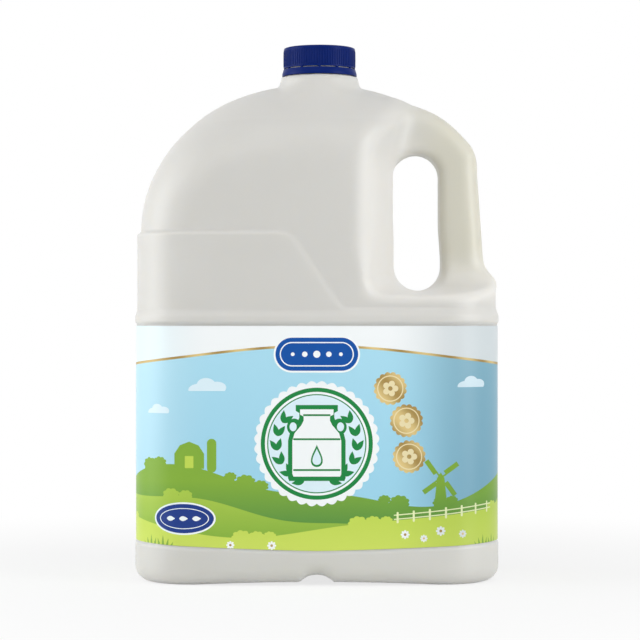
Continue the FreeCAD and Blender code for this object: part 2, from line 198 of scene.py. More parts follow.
def bottle_field(x, y, z):
    """Signed distance, near enough, from the bottle's skin. It is negative inside."""
    side = np.abs(y)
    lean = np.clip((z - LEAN_FOOT) / LEAN_RISE, 0, 0.97)
    depth = HALF_DEPTH * np.sqrt(1 - lean * lean) + face_crown(x) * (1 - lean)
    steep = HALF_DEPTH * lean / np.sqrt(1 - lean * lean) / LEAN_RISE
    faces = (side - depth) / np.sqrt(1 + steep * steep)
    corner = np.minimum(CORNER_RADIUS + 14 * ramp(z - 232, 32), depth - 1.0)
    body = rounded_overlap(dome_profile(x, z), faces, corner) - wall_level(x, z)

    # The recess. Its wall stands still within the grip's depth and drafts from there outwards.
    turn = np.clip((z - RECESS_TURN_FOOT) / 29, 0, 1.3) ** 1.3
    past_grip = (side - 11 + np.sqrt((side - 11) ** 2 + 9)) / 2
    wall = RECESS_WALL + RECESS_TURN * turn - RECESS_DRAFT * past_grip - x
    wall = wall / math.hypot(1, RECESS_DRAFT)
    shelf = SHELF - SHELF_FALL * (side - GRIP_HALF_DEPTH) - z
    shelf = shelf / math.hypot(1, SHELF_FALL)
    recess = rounded_overlap(wall, shelf, RECESS_RADIUS)
    body = rounded_overlap(body, -recess, 4 + 5 * ramp(z - 174, 10))

    # The handle is a flat tube that follows the outline and flares where it meets the shelf.
    up = np.maximum(z - SHOULDER, 0) / GRIP_RISE
    across = (x - GRIP_MIDDLE) / GRIP_REACH
    reach = np.maximum(np.hypot(across, up), 1e-6)
    slope = np.maximum(np.hypot(across / GRIP_REACH, up / GRIP_RISE), 1e-6)
    outline = (reach - 1) * reach / slope + 5.2 * ramp(54 - x, 20)
    right = x - GRIP_RIGHT - GRIP_LEAN * np.clip(222 - z, 0, 80)
    grip = rounded_overlap(outline, right, 4.0)
    grip = rounded_overlap(grip, side - GRIP_HALF_DEPTH, GRIP_RADIUS)
    grip = np.maximum(np.maximum(grip, GRIP_START - x), GRIP_FOOT - z)
    fillet = 2.5 + 5.5 * ramp(side - 7, 5) + 7 * ramp(z - 158, 6) * ramp(190 - z, 12)
    body = blended_union(body, grip, fillet)
    along = np.clip(z, HOLE_LOW, HOLE_HIGH)
    wider = 0.6 * ramp(185 - z, 12)
    hole = np.hypot(x - HOLE_X - wider, z - along) - HOLE_RADIUS - wider
    body = rounded_overlap(body, -hole, HOLE_EDGE)

    arch = ARCH_RISE * np.clip(1 - (x / ARCH_HALF) ** 2, 0, 1)
    channel = CHANNEL_RISE * np.clip(1 - (np.abs(x) / CHANNEL_HALF) ** 2.4, 0, 1)
    inset = rounded_overlap(np.abs(x) - HOLLOW_HALF_WIDTH, side - HOLLOW_HALF_DEPTH, 22.0)
    hollow = HOLLOW_RISE * ramp(-inset - 3.0, 3.0)
    underside = np.maximum(np.maximum(arch, hollow), channel)
    body = rounded_overlap(body, underside - z, HEEL_RADIUS)

    # The collar grows out of the dome, and carries the plain finish that the cap hides.
    out = np.hypot(x - NECK_X, y)
    collar = rounded_overlap(out - COLLAR_RADIUS + COLLAR_TAPER * (z - 270), z - COLLAR_TOP, 0.8)
    root = 1.6 + 9 * np.clip(side / 24, 0, 1) ** 2
    body = blended_union(body, np.maximum(collar, NECK_ROOT - z), root)
    bead = LOCK_BEAD * np.exp(-((z - LOCK_BEAD_HEIGHT) / 0.9) ** 2)
    finish = np.maximum(np.maximum(out - FINISH_RADIUS - bead, z - FINISH_TOP), NECK_ROOT - z)
    seam = SEAM_STEP * np.exp(-(y / SEAM_WIDTH) ** 2)
    return np.minimum(body - seam, finish)


def grid_lines(low, high, step, *fine):
    """Grid positions from low to high. Each fine zone is (start, end, its own step)."""
    lines = [low]
    while lines[-1] < high:
        steps = [s for start, end, s in fine if start <= lines[-1] < end]
        lines.append(lines[-1] + min(steps + [step]))
    return np.array(lines)


def skin_mesh(name, field, xs, ys, zs):
    """A closed quad mesh of where a field is zero: one vertex in each grid cell it crosses."""
    grid = np.meshgrid(xs, ys, zs, indexing="ij")
    value = field(*grid)
    inside = value < 0
    cells = [len(a) - 1 for a in (xs, ys, zs)]
    total = np.zeros(cells + [3])
    count = np.zeros(cells)
    crossings = []
    for axis in range(3):
        lower = [slice(None)] * 3
        upper = [slice(None)] * 3
        lower[axis], upper[axis] = slice(None, -1), slice(1, None)
        lower, upper = tuple(lower), tuple(upper)
        crossed = inside[lower] != inside[upper]
        where = np.argwhere(crossed)
        a, b = value[lower][crossed], value[upper][crossed]
        share = a / (a - b)
        points = np.stack([g[lower][crossed] for g in grid], axis=1)
        points[:, axis] += share * (grid[axis][upper][crossed] - grid[axis][lower][crossed])
        others = [n for n in range(3) if n != axis]
        for d0 in (0, 1):
            for d1 in (0, 1):
                cell = where.copy()
                cell[:, others[0]] -= d0
                cell[:, others[1]] -= d1
                np.add.at(total, tuple(cell.T), points)
                np.add.at(count, tuple(cell.T), 1)
        crossings.append((axis, others, where, inside[lower][crossed]))
    used = count > 0
    number = -np.ones(cells, dtype=int)
    number[used] = np.arange(used.sum())
    points = total[used] / count[used][:, None]

    quads = []
    for axis, others, where, starts_inside in crossings:
        ring = []
        for d0, d1 in ((0, 0), (1, 0), (1, 1), (0, 1)):
            cell = where.copy()
            cell[:, others[0]] -= d0
            cell[:, others[1]] -= d1
            ring.append(number[tuple(cell.T)])
        quad = np.stack(ring, axis=1)
        flip = starts_inside if axis == 1 else ~starts_inside
        quad[flip] = quad[flip][:, ::-1]
        quads.append(quad)
    quads = np.concatenate(quads)

    # Each vertex is moved along the slope to the skin itself.
    nudge = 0.05
    for _ in range(3):
        here = field(*points.T)
        slope = np.stack([(field(*(points + d).T) - field(*(points - d).T)) / (2 * nudge)
                          for d in np.eye(3) * nudge], axis=1)
        step = here[:, None] * slope / np.maximum((slope ** 2).sum(axis=1), 0.2)[:, None]
        points -= np.clip(step, -0.5, 0.5)

    mesh = bpy.data.meshes.new(name)
    mesh.from_pydata((points / 1000).tolist(), [], quads.tolist())
    mesh.update()
    return mesh


def place(name, mesh, smooth=True):
    """Puts a mesh in the scene as an object at the origin."""
    mesh.polygons.foreach_set("use_smooth", [smooth] * len(mesh.polygons))
    thing = bpy.data.objects.new(name, mesh)
    bpy.context.scene.collection.objects.link(thing)
    return thing


# The grid is finer at the channel, the seam, the panel's foot, the rib, the raised panel's top
# edge and the bead that holds the tamper band.
GRID = 2.1
grid_x = grid_lines(-101.7, 101.7, GRID, (-18, 18, 1.2))
grid_y = grid_lines(-53.1, 53.1, GRID, (-1.3, 1.3, 0.55))
grid_z = grid_lines(-1.1, 293.0, GRID, (14, 24, 1.0), (138, 150, 0.7), (186, 192, 0.8),
                    (278.5, 282.5, 0.5))
bottle = place("bottle_skin", skin_mesh("bottle_skin", bottle_field, grid_x, grid_y, grid_z))


def colour(code):
    """An sRGB hex colour as linear RGBA."""
    parts = [int(code[i:i + 2], 16) / 255 for i in (1, 3, 5)]
    linear = [c / 12.92 if c <= 0.04045 else ((c + 0.055) / 1.055) ** 2.4 for c in parts]
    return (*linear, 1.0)


def node(tree, kind, settings=None, **links):
    """Adds a node: settings are its properties, links its inputs, as values or sockets."""
    made = tree.nodes.new(kind)
    for key, value in (settings or {}).items():
        setattr(made, key, value)
    for key, value in links.items():
        index = int(key[1:]) if key[0] == "i" and key[1:].isdigit() else key.replace("_", " ")
        socket = made.inputs[index]
        if isinstance(value, bpy.types.NodeSocket):
            tree.links.new(value, socket)
        else:
            socket.default_value = value
    return made


def new_material(name):
    """An empty node material and its tree."""
    material = bpy.data.materials.new(name)
    material.use_nodes = True
    material.node_tree.nodes.clear()
    return material, material.node_tree


# Blown polyethylene over milk: light goes in a few millimetres, and the mould's blasted face
# leaves a fine satin grain over slow waves in the wall. The handle holds less milk behind it,
# so it is a little more yellow. The wall of the recess is painted lighter: a painted highlight
# for the light from the right that falls on it.
CLOUDING_PER_M = 22.0    # 45 mm apart
WAVES_PER_M = 38.0       # 26 mm apart
GRAIN_PER_M = 1400.0     # 0.7 mm, coarser than the real grain, which wouldn't show
hdpe_milk, tree = new_material("blown_polyethylene_over_milk")
where = node(tree, "ShaderNodeTexCoord").outputs["Object"]
split = node(tree, "ShaderNodeSeparateXYZ", Vector=where)
# Each tone comes in between two places along X and two up Z, in metres.
grip_side = node(tree, "ShaderNodeMapRange", {"interpolation_type": "SMOOTHSTEP"},
                 i0=split.outputs["X"], i1=0.040, i2=0.075, i3=0.0, i4=1.0)
grip_height = node(tree, "ShaderNodeMapRange", {"interpolation_type": "SMOOTHSTEP"},
                   i0=split.outputs["Z"], i1=0.150, i2=0.185, i3=0.0, i4=1.0)
grip_share = node(tree, "ShaderNodeMath", {"operation": "MULTIPLY"},
                  i0=grip_side.outputs[0], i1=grip_height.outputs[0])
clouding = node(tree, "ShaderNodeTexNoise", Vector=where, Scale=CLOUDING_PER_M, Detail=2.0,
                Roughness=0.5)
milk_tone = node(tree, "ShaderNodeMix", {"data_type": "RGBA"}, i0=clouding.outputs["Fac"],
                 i6=colour("#D0CFCA"), i7=colour("#D6D5D1"))
# Where the recess wall gets its painted highlight: its side, its foot and its head.
recess_side = node(tree, "ShaderNodeMapRange", {"interpolation_type": "SMOOTHSTEP"},
                   i0=split.outputs["X"], i1=0.020, i2=0.033, i3=0.0, i4=1.0)
recess_foot = node(tree, "ShaderNodeMapRange", {"interpolation_type": "SMOOTHSTEP"},
                   i0=split.outputs["Z"], i1=0.149, i2=0.158, i3=0.0, i4=0.6)
recess_head = node(tree, "ShaderNodeMapRange", {"interpolation_type": "SMOOTHSTEP"},
                   i0=split.outputs["Z"], i1=0.215, i2=0.255, i3=1.0, i4=0.0)
recess_height = node(tree, "ShaderNodeMath", {"operation": "MULTIPLY"},
                     i0=recess_foot.outputs[0], i1=recess_head.outputs[0])
recess_painted_light_share = node(tree, "ShaderNodeMath", {"operation": "MULTIPLY"},
                    i0=recess_side.outputs[0], i1=recess_height.outputs[0])
# Painted highlight: the recess wall is mixed towards a lighter colour.
wall_painted_light_tone = node(tree, "ShaderNodeMix", {"data_type": "RGBA"}, i0=recess_painted_light_share.outputs[0],
                 i6=milk_tone.outputs[2], i7=colour("#ECEAE6"))
grip_tone = node(tree, "ShaderNodeMix", {"data_type": "RGBA"}, i0=grip_share.outputs[0],
                 i6=wall_painted_light_tone.outputs[2], i7=colour("#D2D0C2"))
waves = node(tree, "ShaderNodeTexNoise", Vector=where, Scale=WAVES_PER_M, Detail=1.0,
             Roughness=0.4)
grain = node(tree, "ShaderNodeTexNoise", Vector=where, Scale=GRAIN_PER_M, Detail=2.0,
             Roughness=0.6)
wavy = node(tree, "ShaderNodeBump", Height=waves.outputs["Fac"], Strength=0.25, Distance=0.0008)
rough_face = node(tree, "ShaderNodeBump", Height=grain.outputs["Fac"], Strength=0.12,
                  Distance=0.00015, Normal=wavy.outputs[0])
surface = node(tree, "ShaderNodeBsdfPrincipled", Base_Color=grip_tone.outputs[2], Roughness=0.42,
               IOR=1.54, Normal=rough_face.outputs[0])
surface.inputs["Subsurface Weight"].default_value = 0.6
surface.inputs["Subsurface Radius"].default_value = (1.0, 0.9, 0.75)
surface.inputs["Subsurface Scale"].default_value = 0.007
node(tree, "ShaderNodeOutputMaterial", Surface=surface.outputs[0])

bottle.data.materials.append(hdpe_milk)
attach(bottle, "root")
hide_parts("jug")

# === Wrap label ================================================================================
# A printed polypropylene film, a third of a millimetre thick here, glued round the panel. Its
# ends overlap on the back. The print is a farm morning in plain shapes, one ink to a region.

FILM = 0.34
GLUE_GAP = 0.03
LABEL_TOP = 138.7
LABEL_FOOT_GAP = 1.0
SEAM_PAST_BACK = 40.0
OVERLAP = 8.0


def panel_outline(count=4000):
    """Points on the label panel seen from above, from the back round by the front to the back."""
    turn = np.linspace(0, 2 * np.pi, count, endpoint=False)
    way = np.stack([-np.sin(turn), np.cos(turn)], axis=1)
    near, far = np.zeros(count), np.full(count, 150.0)
    for _ in range(40):
        middle = (near + far) / 2
        x, y = (way * middle[:, None]).T
        depth = HALF_DEPTH + face_crown(x)
        out = rounded_overlap(np.abs(x) - HALF_WIDTH, np.abs(y) - depth, CORNER_RADIUS)
        near, far = np.where(out < 0, middle, near), np.where(out < 0, far, middle)
    return way * near[:, None]


round_panel = panel_outline()
round_panel = np.vstack([round_panel, round_panel[:1]])
stretches = np.hypot(*np.diff(round_panel, axis=0).T)
run = np.concatenate([[0], np.cumsum(stretches)])
GIRTH = run[-1]
run -= GIRTH / 2


def on_panel(s):
    """Points and outward normals at lengths s round the panel, rightwards from the front."""
    wrapped = (s + GIRTH / 2) % GIRTH - GIRTH / 2
    x, y = (np.interp(wrapped, run, round_panel[:, i]) for i in (0, 1))
    ahead, behind = ((wrapped + d + GIRTH / 2) % GIRTH - GIRTH / 2 for d in (0.4, -0.4))
    along = np.stack([np.interp(ahead, run, round_panel[:, i])
                      - np.interp(behind, run, round_panel[:, i]) for i in (0, 1)])
    along /= np.hypot(*along)
    return x, y, along[1], -along[0]


def ellipse(s, z, wide, high=None, count=48):
    """A circle, or an ellipse of two radii."""
    turns = np.linspace(0, 2 * np.pi, count, endpoint=False)
    return [(s + wide * math.cos(t), z + (high or wide) * math.sin(t)) for t in turns]


def rounded_box(s, z, width, height, radius, count=8):
    """A rounded rectangle about a middle."""
    points = []
    for i, (a, b) in enumerate(((1, 1), (-1, 1), (-1, -1), (1, -1))):
        for j in range(count + 1):
            t = math.pi / 2 * (i + j / count)
            points.append((s + a * (width / 2 - radius) + radius * math.cos(t),
                           z + b * (height / 2 - radius) + radius * math.sin(t)))
    return points


def under_curve(height, start, end, floor_z=-5.0, step=1.6):
    """The area under a curve height(s)."""
    count = int((end - start) / step)
    top = [(s, height(s)) for s in np.linspace(start, end, count)]
    return top + [(end, floor_z), (start, floor_z)]


def stripe(height, start, end, width, step=1.6):
    """A line of some width along a curve height(s)."""
    count = int((end - start) / step)
    places = np.linspace(start, end, count)
    return ([(s, height(s) + width / 2) for s in places]
            + [(s, height(s) - width / 2) for s in places[::-1]])


def bush(s, z, size, lumps):
    """A hedge or tree crown with round lumps all round."""
    points = []
    for t in np.linspace(0, 2 * np.pi, 12 * lumps, endpoint=False):
        reach = size * (0.86 + 0.16 * abs(math.sin(t * lumps / 2)))
        points.append((s + reach * math.cos(t), z + reach * 0.72 * math.sin(t)))
    return points


def drop_points(s, z, size, count=40):
    """A drop with its point up."""
    points = []
    for t in np.linspace(0, 2 * np.pi, count, endpoint=False):
        pinch = math.sin(t / 2) ** 1.6
        points.append((s + size * math.sin(t) * pinch * 0.95, z + size * 1.25 * math.cos(t)))
    return points


def leaf_points(s, z, length, width, angle, count=14):
    """A leaf with its stem at (s, z)."""
    shape = [(length * t, width * math.sin(math.pi * t ** 0.8))
             for t in np.linspace(0, 1, count)]
    shape += [(a, -b) for a, b in shape[-2:0:-1]]
    return rotated(s, z, angle, shape)


def flower(s, z, size, petals=8):
    """A flower with round petals."""
    points = []
    for t in np.linspace(0, 2 * np.pi, petals * 10, endpoint=False):
        reach = size * (0.62 + 0.38 * abs(math.cos(petals * t / 2)) ** 0.7)
        points.append((s + reach * math.cos(t), z + reach * math.sin(t)))
    return points


def rosette(s, z, radius, lobes, depth):
    """A disc with a scalloped edge."""
    points = []
    for t in np.linspace(0, 2 * np.pi, lobes * 8, endpoint=False):
        reach = radius - depth + depth * abs(math.sin(lobes * t / 2))
        points.append((s + reach * math.cos(t), z + reach * math.sin(t)))
    return points


def rotated(s, z, angle, points):
    """Points turned by an angle and moved to (s, z)."""
    c, d = math.cos(angle), math.sin(angle)
    return [(s + a * c - b * d, z + a * d + b * c) for a, b in points]


def cloud(s, z, size):
    """Round heads over a flat foot."""
    points = []
    for t in np.linspace(0, math.pi, 46):
        swell = 0.78 + 0.22 * abs(math.sin(2.5 * t + 0.35))
        points.append((s + size * swell * math.cos(t) * 1.5, z + size * swell * math.sin(t)))
    return points


def churn(s, z, grow):
    """A milk churn of half widths and heights, made larger all round by grow."""
    side = [(12.4, 0), (13.0, 1.4), (13.0, 19), (11.9, 23), (8.2, 27.4), (7.0, 29.8), (7.0, 32.0),
            (8.9, 33.0), (8.9, 35.8)]
    low, high = side[0][1], side[-1][1]
    points = []
    for half, height in side:
        spread = (2 * (height - low) / (high - low) - 1) * grow
        points.append((half + grow, z + height + spread))
    return [(s + h, v) for h, v in points] + [(s - h, v) for h, v in points[::-1]]


def gold_height(s):
    """The gold line between the white band and the sky, an arch on each face."""
    return 122.8 + 5.2 * math.cos(4 * math.pi * s / GIRTH)


def calm(s):
    """Falls from 1 to 0 towards the back, where the two ends of the print must match."""
    return float(ramp(190 - abs(s), 20))


def far_hill(s):
    """Skyline of the farthest hills."""
    return 51.0 + calm(s) * (2.0 + 9.0 * math.sin(s / 38 - 2.6) + 3.0 * math.sin(s / 15 + 0.4))


def middle_hill(s):
    """Skyline of the hills between."""
    return 40.0 + calm(s) * (9.0 * math.sin(s / 46 + 3.9) + 1.6 * math.sin(s / 13))


def near_hill(s):
    """Skyline of the meadow in front."""
    return 33.5 + calm(s) * (6.5 * math.sin(s / 41 - 0.7) + 1.2 * math.sin(s / 17 + 1.0))


# The print, from the lowest ink to the highest: (ink, outline). It runs past the film's ends.
edge = GIRTH / 2 + 60
band = [(-edge, 150), (edge, 150)] + [(s, gold_height(s)) for s in np.linspace(edge, -edge, 420)]
prints = [("white_ink", band)]
prints.append(("gold_ink", stripe(gold_height, -edge, edge, 1.3)))
for s, z, r in ((-58, 104, 7), (-86, 92, 5), (84, 106, 6), (150, 105, 8), (-150, 100, 9)):
    prints.append(("cloud_ink", cloud(s, z, r)))

# Three rows of hills with their hedges, from the farthest to the meadow in front.
prints.append(("far_hill_ink", under_curve(far_hill, -edge, edge)))
for i, s in enumerate((-92, -85, -46, -38, -30, 36, 44, 66, 72, 128, 140, 170, -130, -145, -180)):
    prints.append(("far_hill_ink", bush(s, far_hill(s) + 1.2, 5.4 - i % 3, 9)))

# A barn with its silo on the left, a windmill on the right. Their feet are behind the hills.
barn_s, barn_z = -68, far_hill(-68) - 1.5
barn = [(-8, 0), (-8, 8), (-5, 12.5), (0, 14.5), (5, 12.5), (8, 8), (8, 0)]
prints.append(("far_hill_ink", [(barn_s + a, barn_z + b) for a, b in barn]))
prints.append(("far_hill_ink", rounded_box(barn_s + 12, barn_z + 7, 5, 18, 2.4)))
prints.append(("near_hill_ink", rounded_box(barn_s, barn_z + 3.6, 4.6, 6.4, 0.3, 2)))
mill_s, mill_z = 66, far_hill(66) - 1
mill = [(-3.6, 0), (-2.0, 15.5), (0, 18.5), (2.0, 15.5), (3.6, 0)]
prints.append(("far_hill_ink", [(mill_s + a, mill_z + b) for a, b in mill]))
sail = [(0, -0.45), (12.0, -0.45), (12.0, 2.2), (3.4, 2.2), (3.4, 0.45), (0, 0.45)]
for quarter in range(4):
    angle = 0.62 + quarter * math.pi / 2
    prints.append(("far_hill_ink", rotated(mill_s, mill_z + 15.5, angle, sail)))
prints.append(("middle_hill_ink", under_curve(middle_hill, -edge, edge)))
for i, s in enumerate((-78, -70, 84, 46, 52, 110, 160, -120, -160)):
    prints.append(("middle_hill_ink", bush(s, middle_hill(s) + 1.0, 4.8 - i % 2, 8)))
prints.append(("near_hill_ink", under_curve(near_hill, -edge, edge)))
for i, s in enumerate((-40, -32, -25, 22, 30, 37, 100, 108, -108, -150, 150)):
    prints.append(("near_hill_ink", bush(s, near_hill(s) + 0.2, 5.4 - i % 3, 9)))

# A fence along the meadow, flowers, and tufts of grass at the film's foot.
for i in range(7):
    post = 43 + i * 8.6
    prints.append(("fence_ink", rounded_box(post, near_hill(post) + 1.4, 1.1, 6.0, 0.4, 2)))
for rail in (0.6, 2.8):
    prints.append(("fence_ink", stripe(lambda s, up=rail: near_hill(s) + up, 41, 98, 0.6)))
for s, dz, r in ((-46, -4, 2.2), (-24, -5, 2.4), (47, -8, 2.4), (57, -11, 2.0),
                 (66, -8, 2.6), (78, -11, 2.2), (120, -9, 3), (-130, -9, 3)):
    prints.append(("white_ink", flower(s, near_hill(s) + dz, r)))
    prints.append(("gold_ink", ellipse(s, near_hill(s) + dz, r * 0.3, count=16)))
for tuft in (-94, -86, 88, 96, -160, 165):
    for i in range(5):
        blade = 9.5 - abs(i - 2) * 1.4
        angle = math.pi / 2 + (2 - i) * 0.22
        prints.append(("grass_ink", leaf_points(tuft + i * 1.6, 17.5, blade, 0.75, angle)))

# A plain plaque with five dots, in the middle of the white band.
PLAQUE_Z = 123.6
for ink, width, height in (("white_ink", 46.0, 19.6), ("blue_ink", 44.0, 17.6),
                           ("white_ink", 39.4, 13.0), ("blue_ink", 38.2, 11.8)):
    prints.append((ink, rounded_box(0, PLAQUE_Z, width, height, height / 2, 12)))
for i in range(5):
    dot = 1.9 - 0.45 * abs(i - 2)
    prints.append(("white_ink", ellipse((i - 2) * 6.4, PLAQUE_Z, dot, count=24)))

# A rosette, and in it a churn of milk between two sprigs.
ROSETTE_Z = 76
CHURN_FOOT = 58.5
prints.append(("white_ink", rosette(0, ROSETTE_Z, 33.4, 36, 1.5)))
for ink, radius in (("leaf_ink", 29.8), ("white_ink", 27.6), ("leaf_ink", 26.4),
                    ("cloud_ink", 25.8)):
    prints.append((ink, ellipse(0, ROSETTE_Z, radius, count=96)))
for side in (-1, 1):
    for i in range(6):
        turn = -1.25 + i * 0.36
        s, z = side * 21.3 * math.cos(turn), ROSETTE_Z + 21.3 * math.sin(turn)
        for tilt in (0.45, -0.45):
            way = turn + math.pi / 2 + tilt
            leaf_way = way if side > 0 else math.pi - way
            prints.append(("leaf_ink", leaf_points(s, z, 6.8, 1.5, leaf_way)))
prints.append(("leaf_ink", churn(0, CHURN_FOOT, 2.3)))
for ear in (-1, 1):
    prints.append(("leaf_ink", ellipse(ear * 12.0, 85.0, 3.9, 4.4, 28)))
    prints.append(("cloud_ink", ellipse(ear * 12.6, 85.0, 1.9, 2.4, 20)))
prints.append(("white_ink", churn(0, CHURN_FOOT, 0.0)))
for z, width in ((91.2, 14.6), (78.4, 25.2), (62.0, 25.2)):
    prints.append(("leaf_ink", rounded_box(0, z, width, 1.0, 0.4, 2)))
prints.append(("leaf_ink", drop_points(0, 69.6, 4.8)))
prints.append(("cloud_ink", drop_points(0, 69.1, 3.5)))

# Three seals with a flower each, in a bow beside the rosette.
BOW = 49.5
SEAL = 8.9
for angle in (0.66, 0.27, -0.12):
    s, z = BOW * math.cos(angle), 75 + BOW * math.sin(angle)
    prints.append(("gold_ink", rosette(s, z, SEAL, 16, 0.9)))
    prints.append(("pale_gold_ink", ellipse(s, z, 7.0, count=40)))
    prints.append(("gold_ink", ellipse(s, z, 6.4, count=40)))
    prints.append(("pale_gold_ink", flower(s, z, 4.3, 5)))
    prints.append(("gold_ink", ellipse(s, z, 1.2, count=16)))

# A navy oval with three leaves, low on the left.
OVAL_S = -71
OVAL_Z = 36
for ink, wide, high in (("white_ink", 17.2, 8.7), ("navy_ink", 16.2, 7.8),
                        ("white_ink", 13.6, 5.6), ("navy_ink", 13.1, 5.2)):
    prints.append((ink, ellipse(OVAL_S, OVAL_Z, wide, high, 60)))
for i in range(3):
    stem = OVAL_S + (i - 1) * 7.0 - 2.4
    prints.append(("white_ink", leaf_points(stem, OVAL_Z, 4.8, 1.3, 0.0)))

# A blank table on the back, where a real label lists what is in the milk, and plain seals.
back = GIRTH / 2 - 66
prints.append(("white_ink", rounded_box(back, 78, 62, 62, 3)))
for i in range(8):
    prints.append(("grey_ink", rounded_box(back, 53 + i * 7.2, 54, 0.5, 0.2, 2)))
for i in range(3):
    s = back - 56 - (i % 2) * 17
    prints.append(("gold_ink", rosette(s, 96 - 15 * i, SEAL, 16, 0.9)))
    prints.append(("pale_gold_ink", ellipse(s, 96 - 15 * i, 6.8, count=40)))

INKS = {
    "sky_ink": "#A9DCF2", "white_ink": "#F5F9FA", "gold_ink": "#CDA354", "cloud_ink": "#DDF1FA",
    "far_hill_ink": "#82AC3A", "middle_hill_ink": "#A3C447", "near_hill_ink": "#C5DA58",
    "blue_ink": "#034FA2", "leaf_ink": "#16833F", "fence_ink": "#EAF1BC", "grass_ink": "#86AE46",
    "pale_gold_ink": "#EBDDB0", "navy_ink": "#1B3A86", "grey_ink": "#8F9AA3",
}


def inside_outline(points, outline):
    """Which points lie in a closed outline."""
    outline = np.array(outline)
    near = np.all((points >= outline.min(axis=0)) & (points <= outline.max(axis=0)), axis=1)
    x, y = points[near].T
    found = np.zeros(len(x), dtype=bool)
    for (x0, y0), (x1, y1) in zip(outline, np.roll(outline, -1, axis=0)):
        if y0 != y1:
            between = (y0 > y) != (y1 > y)
            found ^= between & (x < (x1 - x0) * (y - y0) / (y1 - y0) + x0)
    hit = np.zeros(len(points), dtype=bool)
    hit[near] = found
    return hit


def label_mesh():
    """The film: the print's outlines cut it into regions, and each region has its ink."""
    start, end = -GIRTH / 2 + SEAM_PAST_BACK, GIRTH / 2 + (SEAM_PAST_BACK + OVERLAP)
    lines = [start]
    while lines[-1] < end:
        on_corner = abs(on_panel(np.array([lines[-1]]))[0][0]) > 66
        lines.append(lines[-1] + (1.6 if on_corner else 5.0))
    lines[-1] = end
    points, edges = [], []

    def add_line(line, closed):
        first, count = len(points), len(line)
        points.extend(Vector((float(a), float(b))) for a, b in line)
        edges.extend((first + i, first + (i + 1) % count) for i in range(count - (not closed)))

    for s in lines:
        add_line([(s, -6.0), (s, 160.0)], closed=False)
    foot = [(s, float(panel_foot(on_panel(np.array([s]))[0])[0]) + LABEL_FOOT_GAP)
            for s in np.linspace(start, end, 240)]
    rim = foot + [(end, LABEL_TOP), (start, LABEL_TOP)]
    add_line(rim, closed=True)
    for _, outline in prints:
        add_line(outline, closed=True)
    cut = delaunay_2d_cdt(points, edges, [], 0, 1e-4)
    flat = np.array([tuple(p) for p in cut[0]])
    faces = np.array(cut[2])
    faces = faces[inside_outline(flat[faces].mean(axis=1), rim)]
    a, b, c = (flat[faces[:, i]] for i in range(3))
    area = (b - a)[:, 0] * (c - a)[:, 1] - (b - a)[:, 1] * (c - a)[:, 0]
    faces = faces[np.abs(area) > 1e-6]
    middle = flat[faces].mean(axis=1)
    names = list(INKS)
    ink = np.full(len(faces), names.index("sky_ink"))
    for name, outline in prints:
        ink[inside_outline(middle, outline)] = names.index(name)

    used = np.unique(faces)
    number = -np.ones(len(flat), dtype=int)
    number[used] = np.arange(len(used))
    flat, faces = flat[used], number[faces]
    x, y, nx, ny = on_panel(flat[:, 0])
    over_the_end = ramp(flat[:, 0] - (GIRTH / 2 + (SEAM_PAST_BACK - 1.0)), 1.5)
    lift = GLUE_GAP + (FILM + 0.04) * over_the_end
    inner = np.stack([x + nx * lift, y + ny * lift, flat[:, 1]], axis=1)
    outer = np.stack([x + nx * (lift + FILM), y + ny * (lift + FILM), flat[:, 1]], axis=1)
    outward = np.stack([nx, ny, np.zeros_like(nx)], axis=1)
    a, b, c = (outer[faces[:, i]] for i in range(3))
    wrong = (np.cross(b - a, c - a) * outward[faces[:, 0]]).sum(axis=1) < 0
    faces[wrong] = faces[wrong][:, ::-1]

    sides = {(f[i], f[(i + 1) % 3]) for f in faces.tolist() for i in range(3)}
    rims = sorted((p, q) for p, q in sides if (q, p) not in sides)
    count = len(flat)
    polygons = faces.tolist() + (faces[:, ::-1] + count).tolist()
    polygons += [(q, p, p + count, q + count) for p, q in rims]
    mesh = bpy.data.meshes.new("wrap_label")
    mesh.from_pydata((np.vstack([outer, inner]) / 1000).tolist(), [], polygons)
    unprinted = [names.index("white_ink")] * (len(faces) + len(rims))
    mesh.polygons.foreach_set("material_index", ink.tolist() + unprinted)
    return mesh, np.vstack([outward, -outward])


film, film_normals = label_mesh()
label = place("wrap_label", film)
film.normals_split_custom_set_from_vertices(film_normals.tolist())
